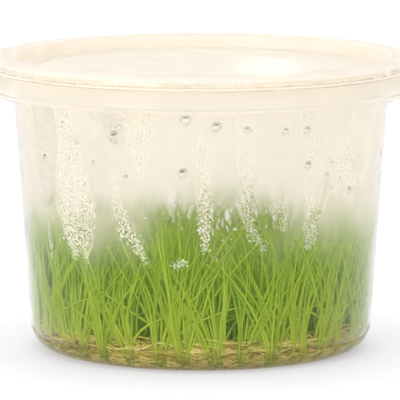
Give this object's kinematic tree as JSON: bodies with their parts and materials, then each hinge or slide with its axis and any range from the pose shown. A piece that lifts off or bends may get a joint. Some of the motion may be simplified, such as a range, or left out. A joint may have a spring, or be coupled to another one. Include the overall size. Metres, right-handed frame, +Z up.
{
  "type": "dwarf hairgrass in a lidded tissue-culture tub",
  "caption": "Round lidded translucent tub holding a sown carpet of fine upright grass leaves on a mat of roots and runners in a thin layer of jelly.",
  "frame": {"origin": "middle of the tub's foot, at the level it stands on", "axes": "+Z up along the tub's axis, -Y towards the viewer"},
  "size_m": [0.118, 0.118, 0.082],
  "materials": {
    "cup_plastic": "thin translucent moulded plastic, faintly warm",
    "lid_plastic": "translucent moulded plastic with a soft shine",
    "jelly": "clear yellowish jelly",
    "roots": "pale straw-coloured roots and runners",
    "leaves": "fresh yellow-green leaves",
    "water": "clear drops"
  },
  "bodies": {
    "root": {"cup": "cup_plastic", "lid": "lid_plastic", "nutrient_jelly": "jelly", "root_mat": "roots", "tuft_centre": "leaves", "tuft_inner_1": "leaves", "tuft_inner_2": "leaves", "tuft_inner_3": "leaves", "tuft_inner_4": "leaves", "tuft_inner_5": "leaves", "tuft_inner_6": "leaves", "tuft_middle_1": "leaves", "tuft_middle_2": "leaves", "tuft_middle_3": "leaves", "tuft_middle_4": "leaves", "tuft_middle_5": "leaves", "tuft_middle_6": "leaves", "tuft_middle_7": "leaves", "tuft_middle_8": "leaves", "tuft_middle_9": "leaves", "tuft_middle_10": "leaves", "tuft_middle_11": "leaves", "tuft_middle_12": "leaves", "tuft_outer_1": "leaves", "tuft_outer_2": "leaves", "tuft_outer_3": "leaves", "tuft_outer_4": "leaves", "tuft_outer_5": "leaves", "tuft_outer_6": "leaves", "tuft_outer_7": "leaves", "tuft_outer_8": "leaves", "tuft_outer_9": "leaves", "tuft_outer_10": "leaves", "tuft_outer_11": "leaves", "tuft_outer_12": "leaves", "tuft_outer_13": "leaves", "tuft_outer_14": "leaves", "tuft_outer_15": "leaves", "tuft_outer_16": "leaves", "tuft_outer_17": "leaves", "tuft_outer_18": "leaves"}
  },
  "joints": []
}
